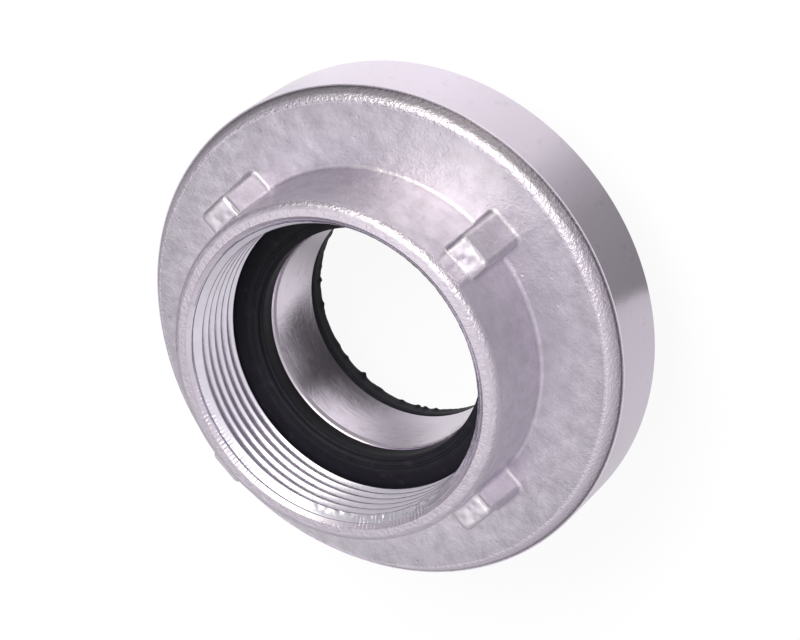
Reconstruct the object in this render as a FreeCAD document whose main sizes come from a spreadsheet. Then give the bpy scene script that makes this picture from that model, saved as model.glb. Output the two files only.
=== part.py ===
# Quarter turn fire hose coupling: fixed half with two claws and a female pipe thread.
# One aluminium casting, a flat gasket below the thread and a lip seal in the mating face.
# Millimetres, +Z along the waterway towards the thread. The claw ends stand on Z = 0.
import FreeCAD, Part
import Sketcher
import math
import os

doc = FreeCAD.newDocument("fire_hose_coupling")

# Driving sizes
SIZES = {
    # Claws
    "claw_count": 2,
    "claw_reach": 15.3,
    "claw_angle": 40.0,
    "claw_inner_radius": 33.0,
    "claw_shank": 7.2,
    "hook_overhang": 4.2,
    "hook_height": 5.0,
    "hook_fillet": 1.0,
    "claw_round": 1.0,
    # Ramped lip that the other half's claws run behind
    "lip_clearance": 0.6,
    "lip_thickness": 4.7,
    "lip_round": 1.2,
    "window_gap": 4.0,
    "window_play": 6.0,
    "ramp_rise": 1.2,
    "ramp_angle": 40.0,
    # Turned rim and cast flange
    "channel_clearance": 1.0,
    "channel_fillet": 1.5,
    "rim_wall": 3.6,
    "rim_length": 14.5,
    "rim_chamfer": 0.2,
    "face_rise": 3.1,
    "edge_step": 0.4,
    "edge_lean": 1.8,
    "edge_round": 0.5,
    "plate_thickness": 5.1,
    # Hub and seal groove
    "hub_gap": 0.7,
    "hub_rise": 2.1,
    "hub_chamfer": 0.5,
    "hub_wall": 2.1,
    "groove_depth": 4.0,
    "groove_height": 2.0,
    "groove_undercut": 2.0,
    # Lip seal of the mating face
    "seal_band": 6.3,
    "seal_proud": 1.4,
    "seal_flare": 0.55,
    "seal_face_inset": 1.1,
    "seal_bevel": 1.6,
    "seal_shoulder": 0.5,
    "seal_round": 0.4,
    # Rear edge of the waterway
    "bore_lip": 0.35,
    # Threaded boss
    "thread_radius": 29.8,
    "thread_length": 13.5,
    "mouth_width": 0.8,
    "mouth_depth": 0.7,
    "relief_depth": 0.5,
    "relief_gap": 0.3,
    "boss_height": 17.5,
    "boss_wall": 3.4,
    "boss_round": 1.3,
    "neck_taper": 0.6,
    "root_fillet": 0.8,
    # Spanner ribs on the boss
    "rib_count": 4,
    "rib_width": 7.6,
    "rib_length": 12.2,
    "rib_rise": 4.8,
    "rib_taper": 0.7,
    "rib_round": 1.2,
    # Thread gasket on its ledge
    "ledge_width": 7.1,
    "gasket_clearance": 0.5,
    "gasket_thickness": 4.7,
    "gasket_setback": 0.2,
    "gasket_step": 0.45,
    "gasket_step_depth": 1.1,
    "gasket_round": 0.25,
}

sheet = doc.addObject("Spreadsheet::Sheet", "Sizes")
for row, (name, value) in enumerate(SIZES.items(), start=1):
    sheet.set(f"A{row}", name)
    sheet.set(f"B{row}", str(value))
    sheet.setAlias(f"B{row}", name)
doc.recompute()


def size(expression):
    """Value of an expression on the sheet's aliases, in mm or degrees."""
    return float(sheet.evalExpression(expression))


# Levels along Z, as expressions on the sheet
RIM_END = "Sizes.claw_reach"
RIM_FRONT = f"{RIM_END} + Sizes.rim_length"
FACE = f"{RIM_FRONT} + Sizes.face_rise"
BOSS_FRONT = f"{FACE} + Sizes.boss_height"
RIB_END = f"{FACE} + Sizes.rib_length"
CHANNEL_FLOOR = f"{FACE} - Sizes.plate_thickness"
LIP_BACK = f"{RIM_END} + Sizes.lip_thickness"
HUB_FRONT = f"{RIM_END} - Sizes.hub_rise"
SEAL_SEAT = f"{HUB_FRONT} + Sizes.groove_depth"
GROOVE_FRONT = f"{SEAL_SEAT} - Sizes.groove_height"
THREAD_FRONT = f"{BOSS_FRONT} - Sizes.mouth_depth"
THREAD_END = f"{THREAD_FRONT} - Sizes.thread_length"
GASKET_SEAT = f"{THREAD_END} - Sizes.relief_gap - Sizes.gasket_thickness"

# Radii outwards from the claws
CLAW_OUTER_RADIUS = "Sizes.claw_inner_radius + Sizes.claw_shank"
HOOK_RADIUS = f"{CLAW_OUTER_RADIUS} + Sizes.hook_overhang"
LIP_RADIUS = f"{CLAW_OUTER_RADIUS} + Sizes.lip_clearance"
CHANNEL_RADIUS = f"{HOOK_RADIUS} + Sizes.channel_clearance"
RIM_RADIUS = f"{CHANNEL_RADIUS} + Sizes.rim_wall"
EDGE_RADIUS = f"{RIM_RADIUS} - Sizes.edge_step"
FACE_RADIUS = f"{EDGE_RADIUS} - Sizes.edge_lean"

# Radii inwards from the claws
HUB_RADIUS = "Sizes.claw_inner_radius - Sizes.hub_gap"
GROOVE_RADIUS = f"{HUB_RADIUS} - Sizes.hub_wall"
GROOVE_MOUTH_RADIUS = f"{GROOVE_RADIUS} - Sizes.groove_undercut"
BORE_RADIUS = f"{GROOVE_MOUTH_RADIUS} - Sizes.seal_band"

# Radii inwards and outwards from the thread
BORE_REAR_RADIUS = "Sizes.thread_radius - Sizes.ledge_width"
MOUTH_RADIUS = "Sizes.thread_radius + Sizes.mouth_width"
RELIEF_RADIUS = "Sizes.thread_radius + Sizes.relief_depth"
NECK_TOP_RADIUS = "Sizes.thread_radius + Sizes.boss_wall"
NECK_FOOT_RADIUS = f"{NECK_TOP_RADIUS} + Sizes.neck_taper"
RIB_TOP_RADIUS = f"{NECK_TOP_RADIUS} + Sizes.rib_rise"
RIB_FOOT_RADIUS = f"{RIB_TOP_RADIUS} + Sizes.rib_taper"

# Azimuths from the middle of a claw
WINDOW_START = "Sizes.claw_angle / 2 + Sizes.window_gap"
WINDOW_END = f"{WINDOW_START} + Sizes.claw_angle + Sizes.window_play"

# How far a feature reaches into the casting before it is joined or cut
OVERLAP = 1.0

# How near an edge's middle lies to where it is looked for, in mm and in degrees
EDGE_REACH = 0.05
FLANK_REACH = 0.3


def origin_item(body, role):
    return next(item for item in body.Origin.OriginFeatures if item.Role == role)


def new_body(name, level=None):
    """Empty body with its name as its label, raised to a level along Z."""
    body = doc.addObject("PartDesign::Body", name)
    body.Label = name
    body.Placement = FreeCAD.Placement(FreeCAD.Vector(0, 0, size(level) if level else 0),
                                       FreeCAD.Rotation())
    if level:
        body.setExpression("Placement.Base.z", level)
    return body


def section_sketch(body, name, corners, azimuth=None):
    """Closed outline in a plane through the Z axis, its corners given as (radius, height)."""
    sketch = body.newObject("Sketcher::SketchObject", name)
    sketch.AttachmentSupport = [(origin_item(body, "XZ_Plane"), "")]
    sketch.MapMode = "FlatFace"
    if azimuth is not None:
        turn = FreeCAD.Rotation(FreeCAD.Vector(0, 1, 0), size(azimuth))
        sketch.AttachmentOffset = FreeCAD.Placement(FreeCAD.Vector(), turn)
        sketch.setExpression("AttachmentOffset.Rotation.Angle", f"({azimuth}) * 1 deg")
    points = [FreeCAD.Vector(size(radius), size(height), 0) for radius, height in corners]
    for index, point in enumerate(points):
        sketch.addGeometry(Part.LineSegment(point, points[(index + 1) % len(points)]), False)
    for index, (radius, height) in enumerate(corners):
        following = (index + 1) % len(points)
        sketch.addConstraint(Sketcher.Constraint("Coincident", index, 2, following, 1))
        across = Sketcher.Constraint("DistanceX", -1, 1, index, 1, points[index].x)
        sketch.setExpression(f"Constraints[{sketch.addConstraint(across)}]", radius)
        if height == "0":
            sketch.addConstraint(Sketcher.Constraint("PointOnObject", index, 1, -1))
        else:
            up = Sketcher.Constraint("DistanceY", -1, 1, index, 1, points[index].y)
            sketch.setExpression(f"Constraints[{sketch.addConstraint(up)}]", height)
    doc.recompute()
    return sketch


def revolved(body, kind, name, sketch, angle=None):
    """Revolution or Groove about Z: a full turn, or a sector centred on the sketch."""
    feature = body.newObject(f"PartDesign::{kind}", name)
    feature.Profile = sketch
    feature.ReferenceAxis = (sketch, ["V_Axis"])
    if angle is None:
        feature.Angle = 360.0
    else:
        feature.Midplane = True
        feature.setExpression("Angle", angle)
    sketch.Visibility = False
    doc.recompute()
    return feature


def patterned(body, name, feature, count):
    """Even copies of a feature round the Z axis."""
    pattern = body.newObject("PartDesign::PolarPattern", name)
    pattern.Originals = [feature]
    pattern.Axis = (origin_item(body, "Z_Axis"), [""])
    pattern.Angle = 360.0
    pattern.setExpression("Occurrences", count)
    body.Tip = pattern
    doc.recompute()
    return pattern


def edges_where(shape, wanted):
    """Names of the edges whose middle (radius, azimuth in degrees, height) is wanted."""
    names = []
    for number, edge in enumerate(shape.Edges, start=1):
        middle = edge.valueAt((edge.FirstParameter + edge.LastParameter) / 2)
        azimuth = math.degrees(math.atan2(middle.y, middle.x))
        if wanted(math.hypot(middle.x, middle.y), azimuth, middle.z):
            names.append(f"Edge{number}")
    return names


def dressed(body, kind, name, setting, expression, wanted):
    """Fillet or Chamfer on the wanted edges of the body as it stands."""
    base = body.Tip
    feature = body.newObject(f"PartDesign::{kind}", name)
    feature.Base = (base, edges_where(base.Shape, wanted))
    feature.setExpression(setting, expression)
    doc.recompute()
    return feature


def at(radius, level, reach=EDGE_REACH):
    """Test for an edge whose middle has that radius and height."""
    wanted_radius, wanted_height = size(radius), size(level)
    return lambda r, azimuth, z: (abs(r - wanted_radius) < reach
                                  and abs(z - wanted_height) < reach)


def any_of(*tests):
    return lambda r, azimuth, z: any(test(r, azimuth, z) for test in tests)


def add_casting(body):
    """Rim, flange, threaded boss and hub: one section turned about the waterway."""
    outline = section_sketch(body, "casting_section", [
        (GROOVE_MOUTH_RADIUS, HUB_FRONT),
        (HUB_RADIUS, HUB_FRONT),
        (HUB_RADIUS, CHANNEL_FLOOR),
        (CHANNEL_RADIUS, CHANNEL_FLOOR),
        (CHANNEL_RADIUS, LIP_BACK),
        (LIP_RADIUS, LIP_BACK),
        (LIP_RADIUS, RIM_END),
        (RIM_RADIUS, RIM_END),
        (RIM_RADIUS, RIM_FRONT),
        (EDGE_RADIUS, RIM_FRONT),
        (FACE_RADIUS, FACE),
        (NECK_FOOT_RADIUS, FACE),
        (NECK_TOP_RADIUS, BOSS_FRONT),
        (MOUTH_RADIUS, BOSS_FRONT),
        ("Sizes.thread_radius", THREAD_FRONT),
        ("Sizes.thread_radius", THREAD_END),
        (RELIEF_RADIUS, THREAD_END),
        (RELIEF_RADIUS, GASKET_SEAT),
        (BORE_REAR_RADIUS, GASKET_SEAT),
        (BORE_RADIUS, SEAL_SEAT),
        (GROOVE_RADIUS, SEAL_SEAT),
        (GROOVE_RADIUS, GROOVE_FRONT),
        (GROOVE_MOUTH_RADIUS, GROOVE_FRONT),
    ])
    revolved(body, "Revolution", "casting", outline)
    dressed(body, "Fillet", "flange_edge", "Radius", "Sizes.edge_round", at(FACE_RADIUS, FACE))
    dressed(body, "Fillet", "boss_edge", "Radius", "Sizes.boss_round",
            at(NECK_TOP_RADIUS, BOSS_FRONT))
    dressed(body, "Fillet", "channel_corners", "Radius", "Sizes.channel_fillet",
            any_of(at(HUB_RADIUS, CHANNEL_FLOOR), at(CHANNEL_RADIUS, CHANNEL_FLOOR)))
    dressed(body, "Chamfer", "rim_edge", "Size", "Sizes.rim_chamfer",
            at(RIM_RADIUS, RIM_END))
    dressed(body, "Chamfer", "hub_edge", "Size", "Sizes.hub_chamfer",
            at(HUB_RADIUS, HUB_FRONT))
    dressed(body, "Chamfer", "bore_edge", "Size", "Sizes.bore_lip",
            at(BORE_REAR_RADIUS, GASKET_SEAT))


def add_windows(body):
    """Gaps in the lip where the other half's claws enter."""
    section = section_sketch(body, "window_section", [
        (f"{LIP_RADIUS} - {OVERLAP}", f"{RIM_END} - {OVERLAP}"),
        (CHANNEL_RADIUS, f"{RIM_END} - {OVERLAP}"),
        (CHANNEL_RADIUS, f"{LIP_BACK} + {OVERLAP}"),
        (f"{LIP_RADIUS} - {OVERLAP}", f"{LIP_BACK} + {OVERLAP}"),
    ], f"({WINDOW_END} - ({WINDOW_START})) / 2")
    window = revolved(body, "Groove", "claw_window", section,
                      f"{WINDOW_START} + {WINDOW_END}")
    patterned(body, "claw_windows", window, "Sizes.claw_count")


def add_ramps(body):
    """Screw surfaces behind the lip, which draw the two halves together as they turn."""
    section = section_sketch(body, "ramp_section", [
        (f"{LIP_RADIUS} - {OVERLAP}", f"{LIP_BACK} - Sizes.ramp_rise"),
        (CHANNEL_RADIUS, f"{LIP_BACK} - Sizes.ramp_rise"),
        (CHANNEL_RADIUS, f"{LIP_BACK} + {OVERLAP}"),
        (f"{LIP_RADIUS} - {OVERLAP}", f"{LIP_BACK} + {OVERLAP}"),
    ], WINDOW_END)
    ramp = body.newObject("PartDesign::SubtractiveHelix", "lip_ramp")
    ramp.Profile = section
    ramp.ReferenceAxis = (section, ["V_Axis"])
    ramp.Mode = "height-turns-angle"
    ramp.setExpression("Height", "Sizes.ramp_rise")
    ramp.setExpression("Turns", "Sizes.ramp_angle / 360")
    section.Visibility = False
    doc.recompute()
    patterned(body, "lip_ramps", ramp, "Sizes.claw_count")
    lip_middle = f"({RIM_END} + {LIP_BACK}) / 2"
    dressed(body, "Fillet", "lip_ends", "Radius", "Sizes.lip_round",
            at(LIP_RADIUS, lip_middle, size("Sizes.ramp_rise")))


def add_claws(body):
    """Hooked claws that rise from the channel floor and reach past the rim."""
    section = section_sketch(body, "claw_section", [
        ("Sizes.claw_inner_radius", "0"),
        (HOOK_RADIUS, "0"),
        (HOOK_RADIUS, "Sizes.hook_height"),
        (CLAW_OUTER_RADIUS, "Sizes.hook_height"),
        (CLAW_OUTER_RADIUS, f"{CHANNEL_FLOOR} + {OVERLAP}"),
        (f"{HUB_RADIUS} - {OVERLAP}", f"{CHANNEL_FLOOR} + {OVERLAP}"),
        (f"{HUB_RADIUS} - {OVERLAP}", HUB_FRONT),
        ("Sizes.claw_inner_radius", HUB_FRONT),
    ])
    claw = revolved(body, "Revolution", "claw", section, "Sizes.claw_angle")
    patterned(body, "claws", claw, "Sizes.claw_count")
    dressed(body, "Fillet", "hook_roots", "Radius", "Sizes.hook_fillet",
            at(CLAW_OUTER_RADIUS, "Sizes.hook_height"))
    half_angle = size("Sizes.claw_angle") / 2
    inner_radius = size("Sizes.claw_inner_radius")
    hook_top = size("Sizes.hook_height")
    root = size(CHANNEL_FLOOR) - size("Sizes.channel_fillet")

    def free_edge(r, azimuth, z):
        turn = min(abs(azimuth), 180 - abs(azimuth))
        on_flank = abs(turn - half_angle) < FLANK_REACH and z < root
        on_tip = turn < half_angle and z < hook_top + EDGE_REACH
        return r > inner_radius - EDGE_REACH and (on_flank or on_tip)

    dressed(body, "Fillet", "claw_edges", "Radius", "Sizes.claw_round", free_edge)


def add_ribs(body):
    """Spanner ribs along the boss, then the fillet round its foot and round each rib."""
    inside_wall = f"(Sizes.thread_radius + {NECK_TOP_RADIUS}) / 2"
    section = section_sketch(body, "rib_section", [
        (inside_wall, f"{FACE} - {OVERLAP}"),
        (RIB_FOOT_RADIUS, f"{FACE} - {OVERLAP}"),
        (RIB_TOP_RADIUS, RIB_END),
        (inside_wall, RIB_END),
    ])
    rib = body.newObject("PartDesign::Pad", "spanner_rib")
    rib.Profile = section
    rib.Midplane = True
    rib.setExpression("Length", "Sizes.rib_width")
    section.Visibility = False
    doc.recompute()
    patterned(body, "spanner_ribs", rib, "Sizes.rib_count")
    face, rib_end, foot_radius = size(FACE), size(RIB_END), size(RIB_FOOT_RADIUS)
    neck_top_radius, neck_foot_radius = size(NECK_TOP_RADIUS), size(NECK_FOOT_RADIUS)
    rib_root_radius = math.hypot(neck_foot_radius, size("Sizes.rib_width / 2"))

    def free_edge(r, azimuth, z):
        return r > rib_root_radius and face + EDGE_REACH < z < rib_end + EDGE_REACH

    def root_edge(r, azimuth, z):
        on_face = abs(z - face) < EDGE_REACH and r < foot_radius + EDGE_REACH
        on_neck = neck_top_radius < r < neck_foot_radius and face < z < rib_end + EDGE_REACH
        return on_face or on_neck

    dressed(body, "Fillet", "rib_edges", "Radius", "Sizes.rib_round", free_edge)
    dressed(body, "Fillet", "boss_roots", "Radius", "Sizes.root_fillet", root_edge)


def coupling_body():
    """The aluminium casting."""
    body = new_body("coupling_body")
    add_casting(body)
    add_windows(body)
    add_ramps(body)
    add_claws(body)
    add_ribs(body)
    return body


def thread_gasket():
    """Flat rubber ring on the ledge at the bottom of the thread, stepped at its bore."""
    body = new_body("thread_gasket", GASKET_SEAT)
    outer_radius = "Sizes.thread_radius - Sizes.gasket_clearance"
    inner_radius = f"{BORE_REAR_RADIUS} + Sizes.gasket_setback"
    step_radius = f"{inner_radius} + Sizes.gasket_step"
    step_level = "Sizes.gasket_thickness - Sizes.gasket_step_depth"
    section = section_sketch(body, "gasket_section", [
        (inner_radius, "0"),
        (outer_radius, "0"),
        (outer_radius, "Sizes.gasket_thickness"),
        (step_radius, "Sizes.gasket_thickness"),
        (step_radius, step_level),
        (inner_radius, step_level),
    ])
    revolved(body, "Revolution", "gasket_ring", section)
    dressed(body, "Fillet", "gasket_edges", "Radius", "Sizes.gasket_round",
            any_of(at(outer_radius, "Sizes.gasket_thickness"),
                   at(step_radius, "Sizes.gasket_thickness"),
                   at(inner_radius, step_level)))
    return body


def front_seal():
    """Rubber lip seal held by its foot in the hub's groove, its face proud of the hub."""
    body = new_body("front_seal", f"{HUB_FRONT} - Sizes.seal_proud")
    face_inner_radius = f"{BORE_RADIUS} + Sizes.seal_face_inset"
    face_outer_radius = f"{GROOVE_MOUTH_RADIUS} - Sizes.seal_bevel"
    mouth_radius = f"{BORE_RADIUS} + Sizes.seal_flare"
    seat = "Sizes.seal_proud + Sizes.groove_depth"
    foot_front = f"{seat} - Sizes.groove_height"
    section = section_sketch(body, "seal_section", [
        (face_inner_radius, "0"),
        (face_outer_radius, "0"),
        (GROOVE_MOUTH_RADIUS, "Sizes.seal_proud"),
        (GROOVE_MOUTH_RADIUS, foot_front),
        (GROOVE_RADIUS, foot_front),
        (GROOVE_RADIUS, seat),
        (BORE_RADIUS, seat),
        (mouth_radius, "Sizes.seal_shoulder"),
    ])
    revolved(body, "Revolution", "seal_ring", section)
    dressed(body, "Fillet", "seal_edges", "Radius", "Sizes.seal_round",
            any_of(at(face_inner_radius, "0"), at(face_outer_radius, "0"),
                   at(mouth_radius, "Sizes.seal_shoulder")))
    return body


bodies = [coupling_body(), thread_gasket(), front_seal()]
doc.recompute()

failed = [item.Name for item in doc.Objects if {"Invalid", "Error"} & set(item.State)]
if failed:
    raise RuntimeError(f"failed objects: {failed}")
for body in bodies:
    if body.Shape.isNull() or not body.Shape.isValid() or len(body.Shape.Solids) != 1:
        raise RuntimeError(f"{body.Label} is not one valid solid")

os.makedirs("parts", exist_ok=True)
for body in bodies:
    body.Shape.exportStep(f"parts/{body.Label}.step")
    box = body.Shape.optimalBoundingBox()
    print(body.Label, f"{body.Shape.Volume / 1000:.3f} cm3",
          f"Z {box.ZMin:.2f} to {box.ZMax:.2f}", f"{len(body.Shape.Faces)} faces")
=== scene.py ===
# Quarter turn fire hose coupling, seen from its threaded side, on a pale studio floor.
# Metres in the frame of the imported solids: +Z runs from the claw ends to the threaded boss.
import math

import bmesh
import bpy
from mathutils import Matrix, Vector, noise


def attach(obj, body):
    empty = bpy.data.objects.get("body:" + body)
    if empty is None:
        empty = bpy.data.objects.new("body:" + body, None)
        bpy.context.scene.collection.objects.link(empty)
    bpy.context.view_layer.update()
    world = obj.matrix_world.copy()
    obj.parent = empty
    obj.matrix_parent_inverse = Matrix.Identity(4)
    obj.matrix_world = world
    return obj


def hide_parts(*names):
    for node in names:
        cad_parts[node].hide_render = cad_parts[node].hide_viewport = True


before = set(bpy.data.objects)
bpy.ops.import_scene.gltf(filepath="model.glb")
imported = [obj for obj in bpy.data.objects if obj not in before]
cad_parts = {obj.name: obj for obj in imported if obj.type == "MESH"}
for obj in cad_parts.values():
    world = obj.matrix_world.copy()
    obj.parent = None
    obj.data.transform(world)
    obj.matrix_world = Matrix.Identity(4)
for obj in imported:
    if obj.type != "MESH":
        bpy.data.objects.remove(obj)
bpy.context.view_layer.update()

# Camera
# A long lens about half a metre away, 35 degrees off the waterway's axis. It is rolled, so
# that the threaded boss points to the lower left of the picture.
SENSOR_WIDTH, FOCAL_LENGTH = 36.0, 134.145
NEAREST_SEEN = 0.02
CAMERA_PLACE = (-0.011282, -0.324717, 0.482589)
PICTURE_RIGHT = (-0.64536, -0.61656, -0.45097)
PICTURE_UP = (0.76361, -0.53627, -0.35959)

lens = bpy.data.cameras.new("photo_view")
lens.sensor_width = SENSOR_WIDTH
lens.lens = FOCAL_LENGTH
lens.clip_start = NEAREST_SEEN
camera = bpy.data.objects.new("photo_view", lens)
bpy.context.scene.collection.objects.link(camera)
picture_right, picture_up = Vector(PICTURE_RIGHT).normalized(), Vector(PICTURE_UP).normalized()
towards_camera = picture_right.cross(picture_up)
camera.matrix_world = (Matrix.Translation(CAMERA_PLACE)
                       @ Matrix((picture_right, picture_up, towards_camera)).transposed().to_4x4())
bpy.context.scene.camera = camera
bpy.context.scene.view_settings.view_transform = "Standard"


# Studio floor
# A plain pale table top under the claws. The camera sees it almost white with the object's
# soft shadow; in the metal's reflections the floor glows instead with painted light and dark bands
# round the coupling and a painted shadow under the bore.
def add_node(tree, kind, inputs=None, **settings):
    """A shader node with its settings; inputs are values or the sockets that feed them."""
    made = tree.nodes.new(kind)
    for name, value in settings.items():
        setattr(made, name, value)
    for name, value in (inputs or {}).items():
        if isinstance(value, bpy.types.NodeSocket):
            tree.links.new(value, made.inputs[name])
        else:
            made.inputs[name].default_value = value
    return made


def ramp(tree, factor, stops):
    """A colour ramp through (position, grey or colour) stops."""
    made = add_node(tree, "ShaderNodeValToRGB", {"Fac": factor})
    while len(made.color_ramp.elements) < len(stops):
        made.color_ramp.elements.new(0.5)
    for element, (position, tone) in zip(made.color_ramp.elements, stops):
        element.position = position
        element.color = (*tone, 1) if isinstance(tone, tuple) else (tone, tone, tone, 1)
    return made.outputs["Color"]


def ring(tree, turn, stops):
    """Tones round the waterway, given at azimuths from -180 to 180 degrees."""
    return ramp(tree, turn, [(azimuth / 360 + 0.5, tone) for azimuth, tone in stops])


def rescale(tree, value, low, high, start=0.0, end=1.0):
    """A value that runs from start to end while another runs from low to high."""
    return add_node(tree, "ShaderNodeMapRange", {"Value": value, "From Min": low, "From Max": high,
                                                 "To Min": start, "To Max": end}).outputs["Result"]


def blend(tree, factor, first, second, kind="RGBA"):
    """A mix of two colours, or of two numbers with kind FLOAT."""
    socket, result = (6, 2) if kind == "RGBA" else (2, 0)
    return add_node(tree, "ShaderNodeMix", {0: factor, socket: first, socket + 1: second},
                    data_type=kind).outputs[result]


# Painted light and dark bands, which the floor shows only in the metal's reflections, near the coupling and
# further out
NEAR_PAINTED_GLOW = [(-180, 0.70), (-155, 0.72), (-133, 0.68), (-128, 0.64), (-125.5, 0.25), (-112, 0.28),
              (-101, 0.32), (-89.5, 0.50), (-78, 0.84), (-67.5, 0.92), (-45.5, 1.12), (-13, 1.14),
              (40, 0.50), (60, 0.32), (74, 0.42), (89, 0.60), (105, 0.80), (180, 0.70)]
FAR_PAINTED_GLOW = [(-180, 0.45), (-61, 0.44), (-16, 0.36), (24, 0.30), (50, 0.40), (75, 0.60), (120, 0.50),
             (165, 0.44), (180, 0.45)]
NEAR_REACH, FAR_REACH = 0.07, 0.13
FLOOR_HALF_WIDTH, FLOOR_GAP = 1.5, 0.0002
TABLE_TONE = (0.9, 0.9, 0.9, 1)
WHITE_SHARE = 0.92
SHADE_STRENGTH = 0.05
BORE_SHADE, SHADE_CORE, SHADE_REACH = (-0.003, 0.0035, 0), 0.0072, 0.0102

floor_mesh = bmesh.new()
bmesh.ops.create_grid(floor_mesh, x_segments=1, y_segments=1, size=FLOOR_HALF_WIDTH)
bmesh.ops.translate(floor_mesh, vec=(0, 0, -FLOOR_GAP), verts=floor_mesh.verts)
floor_data = bpy.data.meshes.new("studio_floor")
floor_mesh.to_mesh(floor_data)
floor_mesh.free()
floor = bpy.data.objects.new("studio_floor", floor_data)
bpy.context.scene.collection.objects.link(floor)

floor_look = bpy.data.materials.new("pale_table_top")
floor_look.use_nodes = True
tree = floor_look.node_tree
tree.nodes.clear()
place = add_node(tree, "ShaderNodeTexCoord").outputs["Object"]
turn = add_node(tree, "ShaderNodeTexGradient", {"Vector": place}, gradient_type="RADIAL").outputs["Fac"]
reach = add_node(tree, "ShaderNodeVectorMath", {0: place}, operation="LENGTH").outputs["Value"]
painted_glow = blend(tree, rescale(tree, reach, NEAR_REACH, FAR_REACH), ring(tree, turn, NEAR_PAINTED_GLOW),
              ring(tree, turn, FAR_PAINTED_GLOW))
# Painted shadow under the bore, darkening the floor's reflected glow
off_shade = add_node(tree, "ShaderNodeVectorMath", {0: place, 1: BORE_SHADE},
                     operation="DISTANCE").outputs["Value"]
shade = rescale(tree, off_shade, SHADE_CORE, SHADE_REACH, SHADE_STRENGTH, 1.0)
ray = add_node(tree, "ShaderNodeLightPath").outputs
matt = add_node(tree, "ShaderNodeBsdfDiffuse", {"Color": TABLE_TONE}).outputs[0]
white = add_node(tree, "ShaderNodeEmission", {"Color": (1, 1, 1, 1), "Strength": 1.0}).outputs[0]
mirrored = add_node(tree, "ShaderNodeEmission", {"Color": painted_glow, "Strength": shade}).outputs[0]
seen = add_node(tree, "ShaderNodeMixShader", {0: WHITE_SHARE, 1: matt, 2: white}).outputs[0]
looks = add_node(tree, "ShaderNodeMixShader", {0: ray["Is Camera Ray"], 1: matt, 2: seen}).outputs[0]
looks = add_node(tree, "ShaderNodeMixShader", {0: ray["Is Glossy Ray"], 1: looks, 2: mirrored}).outputs[0]
add_node(tree, "ShaderNodeOutputMaterial", {"Surface": looks})
floor_data.materials.append(floor_look)

# Studio light
# Soft white surroundings with brighter and darker walls, which the metal mirrors, and one
# large lamp that gives the rubber its light and the floor its shadow.
HORIZON = [(-180, 0.50), (-153, 0.57), (-125, 0.75), (-107, 0.85), (-85, 0.60), (-61, 0.44), (-16, 0.36),
           (10, 0.33), (34, 0.22), (60, 0.35), (120, 0.50), (180, 0.50)]
LOW_SIDE = [(-180, 0.82), (-169, 0.86), (-141, 0.63), (-109, 0.78), (-96, 0.95),
            (-80, (2.05, 2.1, 1.85)), (-42, (2.75, 2.8, 2.4)), (-24, (1.28, 1.3, 1.15)), (-12, 0.65),
            (10, 0.50), (60, 0.64), (120, 0.53), (140, 0.60), (166, 0.72), (180, 0.82)]
HIGH_SIDE = [(-180, 0.76), (-150, 0.89), (-110, 1.00), (-92, 1.00), (-85, 1.20),
             (-76, (3.15, 3.2, 2.95)), (-42, (3.9, 3.98, 3.55)), (-21, (2.95, 3.0, 2.75)), (-12, 0.75),
             (0, 0.66), (32, 0.75), (46, 1.20), (58, 1.80), (72, 1.40), (88, 1.32), (140, 0.88),
             (180, 0.76)]
ZENITH = (1.0, 1.0, 1.0, 1)
# Sine of the height, in the sky, at which one ring of tones gives way to the next
HORIZON_TO_LOW, LOW_TO_HIGH, HIGH_TO_ZENITH = (0.14, 0.37), (0.643, 0.927), (0.96, 0.99)
PLAIN_SKY = (0.62, 0.62, 0.62, 1)
SOFTBOX_SIZE, SOFTBOX_WATTS = 0.5, 9.0
SOFTBOX_PLACE, SOFTBOX_TARGET = (0.45, -0.37, 0.75), (0, 0, 0.02)

world = bpy.data.worlds.new("studio")
bpy.context.scene.world = world
world.use_nodes = True
tree = world.node_tree
tree.nodes.clear()
direction = add_node(tree, "ShaderNodeTexCoord").outputs["Generated"]
turn = add_node(tree, "ShaderNodeTexGradient", {"Vector": direction}, gradient_type="RADIAL").outputs["Fac"]
rise = add_node(tree, "ShaderNodeSeparateXYZ", {"Vector": direction}).outputs["Z"]
dome = blend(tree, rescale(tree, rise, *HORIZON_TO_LOW), ring(tree, turn, HORIZON),
             ring(tree, turn, LOW_SIDE))
dome = blend(tree, rescale(tree, rise, *LOW_TO_HIGH), dome, ring(tree, turn, HIGH_SIDE))
dome = blend(tree, rescale(tree, rise, *HIGH_TO_ZENITH), dome, ZENITH)
ray = add_node(tree, "ShaderNodeLightPath").outputs
plain = add_node(tree, "ShaderNodeBackground", {"Color": PLAIN_SKY}).outputs[0]
mirrored = add_node(tree, "ShaderNodeBackground", {"Color": dome}).outputs[0]
white = add_node(tree, "ShaderNodeBackground", {"Color": (1, 1, 1, 1)}).outputs[0]
looks = add_node(tree, "ShaderNodeMixShader", {0: ray["Is Glossy Ray"], 1: plain, 2: mirrored}).outputs[0]
looks = add_node(tree, "ShaderNodeMixShader", {0: ray["Is Camera Ray"], 1: looks, 2: white}).outputs[0]
add_node(tree, "ShaderNodeOutputWorld", {"Surface": looks})

softbox = bpy.data.lights.new("softbox", "AREA")
softbox.shape = "SQUARE"
softbox.size = SOFTBOX_SIZE
softbox.energy = SOFTBOX_WATTS
softbox_object = bpy.data.objects.new("softbox", softbox)
softbox_object.location = SOFTBOX_PLACE
softbox_aim = Vector(SOFTBOX_TARGET) - softbox_object.location
softbox_object.rotation_euler = softbox_aim.to_track_quat("-Z", "Y").to_euler()
softbox_object.visible_glossy = False
bpy.context.scene.collection.objects.link(softbox_object)


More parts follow.
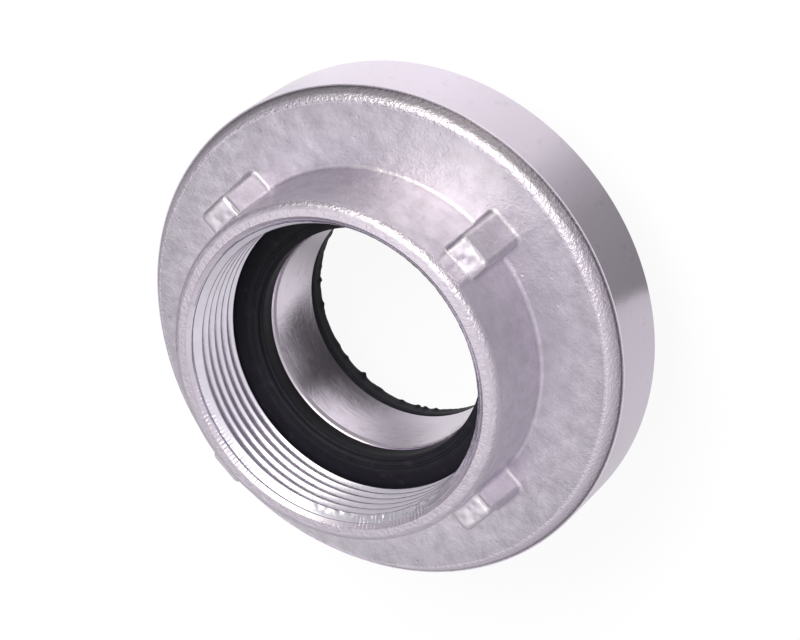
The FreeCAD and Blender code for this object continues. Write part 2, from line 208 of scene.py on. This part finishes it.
# Casting
# The aluminium body, forged and cast, with its grey skin left on the flange, neck, ribs and
# claws. Its rim, boss face and bore are turned, and the flange's edge is trimmed rough.
def new_group(name, inputs, outputs):
    """An empty node group with named sockets, given as (name, socket kind, value)."""
    group = bpy.data.node_groups.new(name, "ShaderNodeTree")
    for label, kind, value in inputs:
        made = group.interface.new_socket(label, in_out="INPUT", socket_type=kind)
        made.default_value = value
    for label, kind in outputs:
        group.interface.new_socket(label, in_out="OUTPUT", socket_type=kind)
    return group, group.nodes.new("NodeGroupInput").outputs, group.nodes.new("NodeGroupOutput").inputs


def placed(tree, group, inputs=None):
    """A node group placed in a material, and its outputs."""
    return add_node(tree, "ShaderNodeGroup", inputs, node_tree=group).outputs


def maths(tree, operation, *values, clamp=False):
    """A Math node's result."""
    return add_node(tree, "ShaderNodeMath", dict(enumerate(values)),
                    operation=operation, use_clamp=clamp).outputs[0]


def grainy(tree, place, scale, detail=2.0, roughness=0.5):
    """Noise at a scale given in waves per millimetre."""
    return add_node(tree, "ShaderNodeTexNoise", {"Vector": place, "Scale": scale, "Detail": detail,
                                                 "Roughness": roughness}).outputs[0]


# Radius, height and turn of a point round the waterway, in millimetres and in turns
station, _, out = new_group("station_on_coupling", [],
                            [("Radius", "NodeSocketFloat"), ("Height", "NodeSocketFloat"),
                             ("Turn", "NodeSocketFloat"), ("Place", "NodeSocketVector")])
place = add_node(station, "ShaderNodeTexCoord").outputs["Object"]
place_mm = add_node(station, "ShaderNodeVectorMath", {0: place, "Scale": 1000.0},
                    operation="SCALE").outputs[0]
parts = add_node(station, "ShaderNodeSeparateXYZ", {0: place_mm}).outputs
flat = add_node(station, "ShaderNodeCombineXYZ", {0: parts[0], 1: parts[1]}).outputs[0]
around = add_node(station, "ShaderNodeTexGradient", {"Vector": place},
                  gradient_type="RADIAL").outputs["Fac"]
station.links.new(add_node(station, "ShaderNodeVectorMath", {0: flat}, operation="LENGTH").outputs["Value"],
                  out["Radius"])
station.links.new(parts[2], out["Height"])
station.links.new(around, out["Turn"])
station.links.new(place_mm, out["Place"])

# A mask that is 1 between two values, with soft ends
band, into, out = new_group("band", [("Value", "NodeSocketFloat", 0.0), ("Low", "NodeSocketFloat", 0.0),
                                     ("High", "NodeSocketFloat", 1.0), ("Soft", "NodeSocketFloat", 0.1)],
                            [("Mask", "NodeSocketFloat")])
up = maths(band, "DIVIDE", maths(band, "SUBTRACT", into["Value"], into["Low"]), into["Soft"], clamp=True)
down = maths(band, "DIVIDE", maths(band, "SUBTRACT", into["High"], into["Value"]), into["Soft"], clamp=True)
band.links.new(maths(band, "MULTIPLY", up, down), out["Mask"])

# Lines that a lathe leaves round the axis
lathe, into, out = new_group("lathe_lines", [("Fineness", "NodeSocketFloat", 6.0)],
                             [("Height", "NodeSocketFloat")])
spot = placed(lathe, station)
along_line = maths(lathe, "MULTIPLY", maths(lathe, "PINGPONG", spot["Turn"], 0.5), 6.0)
across = add_node(lathe, "ShaderNodeCombineXYZ",
                  {0: maths(lathe, "MULTIPLY", spot["Radius"], into["Fineness"]),
                   1: maths(lathe, "MULTIPLY", spot["Height"], into["Fineness"]), 2: along_line}).outputs[0]
lathe.links.new(maths(lathe, "SUBTRACT", grainy(lathe, across, 1.0, 4.0), 0.5), out["Height"])

# Marks of a chattering tool, which stand across its path on three arcs, given in degrees
CHATTERED_ARCS = [(50, 112), (140, 178), (-80, -45)]
chatter, into, out = new_group("chatter_marks", [("Marks", "NodeSocketFloat", 225.0)],
                               [("Height", "NodeSocketFloat")])
spot = placed(chatter, station)
phase = maths(chatter, "MULTIPLY", maths(chatter, "MULTIPLY", spot["Turn"], into["Marks"]), math.tau)
waves = maths(chatter, "SINE", phase)
swell = rescale(chatter, grainy(chatter, spot["Place"], 0.8), 0.42, 0.64)
sweeps = [placed(chatter, band, {"Value": spot["Turn"], "Low": low / 360 + 0.5, "High": high / 360 + 0.5,
                                 "Soft": 0.02})[0] for low, high in CHATTERED_ARCS]
where = maths(chatter, "MAXIMUM", maths(chatter, "MAXIMUM", sweeps[0], sweeps[1]), sweeps[2])
waves = maths(chatter, "MULTIPLY", waves, swell)
chatter.links.new(maths(chatter, "MULTIPLY", waves, where), out["Height"])

# Skin of a forged casting: slow waves, orange peel, fine grain and a few pits, in tenths of a mm
skin, into, out = new_group("cast_skin",
                            [("Waves", "NodeSocketFloat", 1.0), ("Peel", "NodeSocketFloat", 0.2),
                             ("Grain", "NodeSocketFloat", 0.03), ("Pits", "NodeSocketFloat", 0.5)],
                            [("Height", "NodeSocketFloat"), ("Mottle", "NodeSocketFloat"),
                             ("Stain", "NodeSocketFloat")])
place = placed(skin, station)["Place"]
cells = add_node(skin, "ShaderNodeTexVoronoi", {"Vector": place, "Scale": 0.35}).outputs["Distance"]
total = maths(skin, "MULTIPLY", rescale(skin, cells, 0.05, 0.12, -1.0, 0.0), into["Pits"])
for label, scale, detail in (("Waves", 0.16, 2.0), ("Peel", 1.3, 3.0), ("Grain", 2.6, 2.0)):
    level = maths(skin, "SUBTRACT", grainy(skin, place, scale, detail), 0.5)
    total = maths(skin, "MULTIPLY_ADD", level, into[label], total)
skin.links.new(total, out["Height"])
skin.links.new(grainy(skin, place, 0.3, 7.0, 0.7), out["Mottle"])
skin.links.new(rescale(skin, grainy(skin, place, 0.45, 3.0), 0.6, 0.75), out["Stain"])

# Rings of the casting that are finished otherwise than its skin, and rings of painted shade at the
# flange's edge, each given in millimetres as inner radius, outer radius, bottom, top and width of the
# soft border
RIM_WALL, RIM_END = (48.7, 50, 14, 29.9, 0.08), (40.7, 50, 14, 15.6, 0.08)
BOSS_FACE, MOUTH = (30.4, 32.0, 50.2, 51, 0.08), (28, 30.7, 31, 50.35, 0.08)
BORE, HUB_FRONT = (21, 23.4, 14, 31.3, 0.08), (28, 32.5, 13, 13.3, 0.08)
FLANGE_EDGE, BOSS_EDGE = (46.2, 48.75, 29.75, 33.0, 0.2), (31.9, 33.6, 48.7, 50.4, 0.3)
RIB_ENDS = (33.6, 39, 44.7, 45.3, 0.15)
EDGE_SHADE, EDGE_CREASE_SHADE = (47, 48.9, 29.6, 31.8, 0.6), (48.3, 48.9, 29.6, 30.25, 0.15)
SHADED_ARC = {"Low": 0.2, "High": 0.56, "Soft": 0.06}

SKIN_TONES = [(0.33, (0.58, 0.535, 0.605)), (0.5, (0.65, 0.60, 0.68)), (0.66, (0.71, 0.66, 0.74))]
TURNED_TONE, HAMMERED_TONE = (0.82, 0.74, 0.85, 1), (0.84, 0.78, 0.86, 1)
BOSS_FACE_TONE, STAIN_TONE = (0.70, 0.635, 0.72, 1), (0.42, 0.38, 0.42, 1)
EDGE_SHADE_TONE, EDGE_CREASE_SHADE_TONE = (0.50, 0.46, 0.51, 1), (0.42, 0.39, 0.43, 1)
TURNED_ROUGHNESS, BORE_ROUGHNESS = 0.27, 0.16
# How far faces fall away outwards, in the unit of the bump, and its scale in metres
BOSS_FALL, FLANGE_FALL, EDGE_FALL = -2.05, -4.5, -5.6
TENTH_OF_MM = 0.0001

cast_look = bpy.data.materials.new("forged_and_turned_aluminium")
cast_look.use_nodes = True
tree = cast_look.node_tree
tree.nodes.clear()
spot = placed(tree, station)


def zone(inner, outer, bottom, top, soft):
    """A mask over a ring of the casting, from its radii and heights in millimetres."""
    rings = placed(tree, band, {"Value": spot["Radius"], "Low": inner, "High": outer, "Soft": soft})[0]
    level = placed(tree, band, {"Value": spot["Height"], "Low": bottom, "High": top, "Soft": soft})[0]
    return maths(tree, "MULTIPLY", rings, level)


def joined(masks):
    """One mask over all of several."""
    whole = masks[0]
    for mask in masks[1:]:
        whole = maths(tree, "MAXIMUM", whole, mask)
    return whole


boss_face, mouth, bore = zone(*BOSS_FACE), zone(*MOUTH), zone(*BORE)
turned = joined([zone(*RIM_WALL), boss_face, mouth, bore, zone(*RIM_END), zone(*HUB_FRONT)])
trimmed = joined([zone(*FLANGE_EDGE), zone(*BOSS_EDGE)])
hammered = zone(*RIB_ENDS)
cast = placed(tree, skin, {"Waves": 2.8, "Peel": 0.5, "Grain": 0.3, "Pits": 0.5})
rough = placed(tree, skin, {"Waves": 0.6, "Peel": 2.6, "Grain": 0.8, "Pits": 0.0})
dimples = add_node(tree, "ShaderNodeTexVoronoi", {"Vector": spot["Place"], "Scale": 0.62},
                   feature="SMOOTH_F1").outputs["Distance"]
dimples = maths(tree, "MULTIPLY", maths(tree, "SUBTRACT", dimples, 0.3), 3.2)
lines = maths(tree, "MULTIPLY", placed(tree, lathe, {"Fineness": 5.0})["Height"], 0.14)
lines = maths(tree, "MULTIPLY_ADD", cast["Height"], 0.25, lines)
lines = maths(tree, "MULTIPLY_ADD", maths(tree, "MULTIPLY", rough["Height"], boss_face), 0.35, lines)
marks = maths(tree, "MULTIPLY", placed(tree, chatter)["Height"], mouth)
lines = maths(tree, "MULTIPLY_ADD", marks, 0.4, lines)
relief = blend(tree, trimmed, cast["Height"], rough["Height"], "FLOAT")
relief = blend(tree, hammered, relief, dimples, "FLOAT")
relief = blend(tree, turned, relief, lines, "FLOAT")

# The boss face and the flange fall away a little outwards, and the flange's edge is rounded
boss_dome = rescale(tree, spot["Radius"], 30.6, 33.2, 0.0, BOSS_FALL)
flange_dome = rescale(tree, spot["Radius"], 33.8, 46.8, 0.0, FLANGE_FALL)
across_edge = rescale(tree, spot["Height"], 29.8, 32.9, -1.0, 1.0)
edge_round = maths(tree, "MULTIPLY", maths(tree, "MULTIPLY", across_edge, across_edge), EDGE_FALL)
relief = maths(tree, "ADD", relief, edge_round)
relief = maths(tree, "ADD", relief, maths(tree, "ADD", boss_dome, flange_dome))
bump = add_node(tree, "ShaderNodeBump", {"Height": relief, "Strength": 1.0,
                                         "Distance": TENTH_OF_MM}).outputs[0]

tone = ramp(tree, cast["Mottle"], SKIN_TONES)
# Painted light and shade: the skin is coloured lighter near the neck and darker towards the flange's edge,
# where its highlight fades
flange_painted_light_and_shade = rescale(tree, spot["Radius"], 36.0, 46.5, 1.1, 0.85)
tone = add_node(tree, "ShaderNodeVectorMath", {0: tone, "Scale": flange_painted_light_and_shade}, operation="SCALE").outputs[0]
tone = blend(tree, joined([turned, trimmed]), tone, TURNED_TONE)
tone = blend(tree, boss_face, tone, BOSS_FACE_TONE)
shaded_arc = placed(tree, band, {"Value": spot["Turn"], **SHADED_ARC})[0]
tone = blend(tree, maths(tree, "MULTIPLY", zone(*EDGE_SHADE), shaded_arc), tone, EDGE_SHADE_TONE)
# Painted shadow in the crease where the rim meets the flange's edge
tone = blend(tree, zone(*EDGE_CREASE_SHADE), tone, EDGE_CREASE_SHADE_TONE)
tone = blend(tree, hammered, tone, HAMMERED_TONE)
tone = blend(tree, maths(tree, "MULTIPLY", cast["Stain"], 0.22), tone, STAIN_TONE)
dull = maths(tree, "ADD", rescale(tree, cast["Mottle"], 0.35, 0.65, 0.04, -0.04),
             rescale(tree, spot["Radius"], 38.0, 45.0, 0.37, 0.35))
dull = blend(tree, joined([turned, trimmed]), dull, TURNED_ROUGHNESS, "FLOAT")
dull = blend(tree, bore, dull, BORE_ROUGHNESS, "FLOAT")
round_axis = add_node(tree, "ShaderNodeTangent", direction_type="RADIAL", axis="Z").outputs[0]
metal = add_node(tree, "ShaderNodeBsdfPrincipled", {"Base Color": tone, "Metallic": 1.0, "Roughness": dull,
                                                    "Anisotropic": 0.8, "Anisotropic Rotation": 0.25,
                                                    "Tangent": round_axis, "Normal": bump}).outputs[0]
add_node(tree, "ShaderNodeOutputMaterial", {"Surface": metal})
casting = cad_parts["coupling_body"]
for material_slot in casting.material_slots:
    material_slot.material = cast_look

# Pipe thread
# Right-hand parallel pipe thread, 11 turns per inch, cut in the boss from the mouth's
# chamfer down to the relief above the gasket. Its first crests are bright and burred.
PITCH = 0.0254 / 11
ROOT_RADIUS = 0.029767
THREAD_DEPTH = 0.640327 * PITCH
FLANK_ANGLE = math.radians(27.5)
ROOT_SHARE = 0.55
ROOT_ROUND, CREST_ROUND = 0.00005, 0.00016
STEPS_PER_TURN = 420
TURNS = 8
THREAD_START = 0.032621
THREAD_BOTTOM, THREAD_TOP = 0.03622, 0.04971
MOUTH_RADIUS, BOSS_FRONT, MOUTH_SLOPE = 0.0306, 0.0504, 0.8 / 0.7
BACK_RADIUS = 0.03015
# Burrs on the first crests: azimuth and width in degrees, length in millimetres
BURRS = [(135, 22, 0.45), (172, 14, 0.35), (-45, 18, 0.35), (78, 20, 0.25)]
BURRED_RADIUS, BURRED_WIDTH = 0.0286, 0.0005
# Unevenness of the mouth's cone, how far below the thread's top it is full, and that of the cut
MOUTH_UNEVEN, FULL_BELOW_TOP, CUT_UNEVEN = 0.00009, 0.0006, 0.00001
MOUTH_CONE = {"Low": 48.6, "High": 51.0, "Soft": 0.3}
CUT_TONES = [(0.3, (0.80, 0.755, 0.86)), (0.7, (0.88, 0.835, 0.93))]
THREAD_FINISH = 0.21
SAME_CORNER = 2e-6

flats = PITCH / 2 - THREAD_DEPTH * math.tan(FLANK_ANGLE)
root_end, crest_start = flats * ROOT_SHARE, PITCH / 2 - flats * (1 - ROOT_SHARE)
crest_radius = ROOT_RADIUS - THREAD_DEPTH
thread = bmesh.new()
turn_outline = [(ROOT_RADIUS, 0), (ROOT_RADIUS, root_end), (crest_radius, crest_start),
                (crest_radius, PITCH - crest_start), (ROOT_RADIUS, PITCH - root_end), (ROOT_RADIUS, PITCH)]
corners = [thread.verts.new((radius, 0, THREAD_START + height)) for radius, height in turn_outline]
for first, second in zip(corners, corners[1:]):
    thread.edges.new((first, second))
for rounded, size in ((corners[2:4], CREST_ROUND), ([corners[1], corners[4]], ROOT_ROUND)):
    bmesh.ops.bevel(thread, geom=rounded, offset=size, offset_type="OFFSET", affect="VERTICES",
                    segments=3, profile=0.5, material=-1)
flanks = [edge for edge in thread.edges if edge.calc_length() > THREAD_DEPTH / 2]
bmesh.ops.subdivide_edges(thread, edges=flanks, cuts=3)
bmesh.ops.spin(thread, geom=thread.verts[:] + thread.edges[:], cent=(0, 0, 0), axis=(0, 0, 1),
               dvec=(0, 0, PITCH / STEPS_PER_TURN), angle=math.tau, steps=STEPS_PER_TURN,
               use_merge=False, use_normal_flip=False, use_duplicate=False)
first_turn = thread.verts[:] + thread.edges[:] + thread.faces[:]
for turn_number in range(1, TURNS):
    copy = bmesh.ops.duplicate(thread, geom=first_turn)["geom"]
    bmesh.ops.translate(thread, vec=(0, 0, PITCH * turn_number),
                        verts=[item for item in copy if isinstance(item, bmesh.types.BMVert)])
bmesh.ops.remove_doubles(thread, verts=thread.verts, dist=SAME_CORNER)
for level, side in ((THREAD_BOTTOM, -1), (THREAD_TOP, 1)):
    bmesh.ops.bisect_plane(thread, geom=thread.verts[:] + thread.edges[:] + thread.faces[:], dist=1e-7,
                           plane_co=(0, 0, level), plane_no=(0, 0, side), clear_outer=True)
for corner in thread.verts:
    radius = math.hypot(corner.co.x, corner.co.y)
    azimuth = math.degrees(math.atan2(corner.co.y, corner.co.x))
    cone = MOUTH_RADIUS - (BOSS_FRONT - corner.co.z) * MOUTH_SLOPE
    faded = min(1.0, (THREAD_TOP - corner.co.z) / FULL_BELOW_TOP)
    cone += MOUTH_UNEVEN * noise.noise(corner.co * 1500) * faded
    wanted = max(radius, min(cone, ROOT_RADIUS))
    if wanted > radius:
        ragged = sum(length * math.exp(-(((azimuth - middle + 180) % 360 - 180) / width) ** 2)
                     for middle, width, length in BURRS)
        near_crest = math.exp(-((wanted - BURRED_RADIUS) / BURRED_WIDTH) ** 2)
        wanted -= 0.001 * ragged * near_crest * max(0.0, noise.noise(corner.co * 1100) + 0.1)
    wanted += CUT_UNEVEN * noise.noise(corner.co * 700)
    corner.co.x *= wanted / radius
    corner.co.y *= wanted / radius
rims = [edge for edge in thread.edges if edge.is_boundary]
for edge in rims:
    edge.smooth = False
made = bmesh.ops.extrude_edge_only(thread, edges=rims)["geom"]
for corner in (item for item in made if isinstance(item, bmesh.types.BMVert)):
    radius = math.hypot(corner.co.x, corner.co.y)
    corner.co.x *= BACK_RADIUS / radius
    corner.co.y *= BACK_RADIUS / radius
bmesh.ops.bridge_loops(thread, edges=[item for item in made if isinstance(item, bmesh.types.BMEdge)])
bmesh.ops.recalc_face_normals(thread, faces=thread.faces)


def finished(name, shape, material):
    """Turns a bmesh into an object that rides on the coupling."""
    for face in shape.faces:
        face.smooth = True
    data = bpy.data.meshes.new(name)
    shape.to_mesh(data)
    shape.free()
    data.materials.append(material)
    piece = bpy.data.objects.new(name, data)
    bpy.context.scene.collection.objects.link(piece)
    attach(piece, "root")
    return piece


thread_look = bpy.data.materials.new("cut_aluminium_thread")
thread_look.use_nodes = True
tree = thread_look.node_tree
tree.nodes.clear()
spot = placed(tree, station)
cut = placed(tree, skin, {"Waves": 0.1, "Peel": 0.1, "Grain": 0.04, "Pits": 0.0})
on_cone = placed(tree, band, {"Value": spot["Height"], **MOUTH_CONE})[0]
relief = maths(tree, "MULTIPLY_ADD", placed(tree, lathe, {"Fineness": 9.0})["Height"], 0.08, cut["Height"])
marks = maths(tree, "MULTIPLY", placed(tree, chatter)["Height"], on_cone)
relief = maths(tree, "MULTIPLY_ADD", marks, 0.35, relief)
bump = add_node(tree, "ShaderNodeBump", {"Height": relief, "Strength": 1.0,
                                         "Distance": TENTH_OF_MM}).outputs[0]
tone = ramp(tree, cut["Mottle"], CUT_TONES)
metal = add_node(tree, "ShaderNodeBsdfPrincipled", {"Base Color": tone, "Metallic": 1.0,
                                                    "Roughness": THREAD_FINISH, "Normal": bump}).outputs[0]
add_node(tree, "ShaderNodeOutputMaterial", {"Surface": metal})
finished("pipe_thread", thread, thread_look)

# Thread gasket
# Flat black rubber ring on the ledge below the thread. Its bore has a moulded step and two
# fine lines, and its outer edge is a little uneven where it was punched.
GASKET_PROFILE = [(0.0229, 0.0312), (0.02925, 0.0312), (0.0293, 0.0314), (0.0293, 0.03565),
                  (0.02922, 0.03583), (0.02905, 0.0359), (0.0274, 0.03589), (0.0260, 0.0359),
                  (0.02505, 0.0359), (0.02495, 0.03583), (0.02482, 0.03583), (0.02472, 0.0359),
                  (0.02452, 0.0359), (0.02442, 0.03583), (0.0243, 0.03583), (0.0242, 0.0359),
                  (0.0240, 0.03588), (0.02352, 0.0357), (0.02338, 0.0355), (0.02335, 0.0349),
                  (0.0233, 0.03482), (0.02305, 0.0348), (0.02293, 0.03472), (0.0229, 0.0345)]
GASKET_SEGMENTS = 288
PUNCHED_FROM_RADIUS, PUNCHED_FROM_HEIGHT = 0.029, 0.0355
RUBBER_TONES = [(0.3, (0.0055, 0.005, 0.008)), (0.7, (0.011, 0.010, 0.015))]
DUST_TONE = (0.10, 0.09, 0.10, 1)


def turned_ring(outline, segments):
    """A closed ring spun from its outline, given as (radius, height)."""
    made = bmesh.new()
    loop = [made.verts.new((radius, 0, height)) for radius, height in outline]
    for first, second in zip(loop, loop[1:] + loop[:1]):
        made.edges.new((first, second))
    bmesh.ops.spin(made, geom=made.verts[:] + made.edges[:], cent=(0, 0, 0), axis=(0, 0, 1),
                   dvec=(0, 0, 0), angle=math.tau, steps=segments, use_merge=True,
                   use_normal_flip=False, use_duplicate=False)
    bmesh.ops.remove_doubles(made, verts=made.verts, dist=1e-7)
    bmesh.ops.recalc_face_normals(made, faces=made.faces)
    return made


rubber_look = bpy.data.materials.new("black_moulded_rubber")
rubber_look.use_nodes = True
tree = rubber_look.node_tree
tree.nodes.clear()
moulded = placed(tree, skin, {"Waves": 0.3, "Peel": 0.12, "Grain": 0.05, "Pits": 0.0})
bump = add_node(tree, "ShaderNodeBump", {"Height": moulded["Height"], "Strength": 0.8,
                                         "Distance": TENTH_OF_MM}).outputs[0]
tone = ramp(tree, moulded["Mottle"], RUBBER_TONES)
tone = blend(tree, maths(tree, "MULTIPLY", moulded["Stain"], 0.12), tone, DUST_TONE)
rubber = add_node(tree, "ShaderNodeBsdfPrincipled", {"Base Color": tone, "Roughness": 0.55, "Normal": bump,
                                                     "Specular IOR Level": 0.22}).outputs[0]
add_node(tree, "ShaderNodeOutputMaterial", {"Surface": rubber})

gasket = turned_ring(GASKET_PROFILE, GASKET_SEGMENTS)
for corner in gasket.verts:
    radius = math.hypot(corner.co.x, corner.co.y)
    if radius > PUNCHED_FROM_RADIUS and corner.co.z > PUNCHED_FROM_HEIGHT:
        uneven = 1 - 0.0025 * abs(noise.noise(corner.co * 350)) - 0.002 * abs(noise.noise(corner.co * 90))
        corner.co.x *= uneven
        corner.co.y *= uneven
gasket_ring = finished("thread_gasket_ring", gasket, rubber_look)
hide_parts("thread_gasket")

# Front seal
# Black rubber lip seal, held by its foot in the hub's groove, its face proud of the hub.
# Torn nibs of moulding flash stand along the lip's inner edge.
SEAL_PROFILE = [(0.0219, 0.0172), (0.0302, 0.0172), (0.0302, 0.0152), (0.0282, 0.0152),
                (0.0282, 0.0132), (0.0270, 0.01215), (0.0267, 0.01185), (0.0263, 0.0118),
                (0.0250, 0.0118), (0.0234, 0.0118), (0.0230, 0.0119), (0.02262, 0.01218),
                (0.02244, 0.0125), (0.02240, 0.0131), (0.02218, 0.0148)]
SEAL_SEGMENTS = 540
LIP_RADIUS, LIP_HEIGHT = 0.0232, 0.0128
# Nibs along the lip: azimuth and width in degrees, length in millimetres
NIBS = [(-58, 2.2, 0.25), (43, 1.2, 0.30), (56, 1.5, 0.34), (78, 2.2, 0.16), (86, 1.2, 0.22),
        (98, 1.4, 0.75), (109, 2.0, 0.22), (122, 1.3, 0.26), (131, 1.0, 0.30), (135, 1.2, 0.42),
        (141, 0.9, 0.30), (200, 2.0, 0.3)]

seal = turned_ring(SEAL_PROFILE, SEAL_SEGMENTS)
for corner in seal.verts:
    radius = math.hypot(corner.co.x, corner.co.y)
    if radius < LIP_RADIUS and corner.co.z < LIP_HEIGHT:
        azimuth = math.degrees(math.atan2(corner.co.y, corner.co.x))
        reach = 0.00022 * max(0.0, noise.noise(corner.co * 600))
        reach += 0.00012 * max(0.0, noise.noise(corner.co * 1500))
        for middle, width, length in NIBS:
            off = (azimuth - middle + 180) % 360 - 180
            reach += 0.001 * length * math.exp(-(off / width) ** 2)
        corner.co.x *= 1 - reach / radius
        corner.co.y *= 1 - reach / radius
front_seal_ring = finished("front_seal_ring", seal, rubber_look)
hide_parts("front_seal")
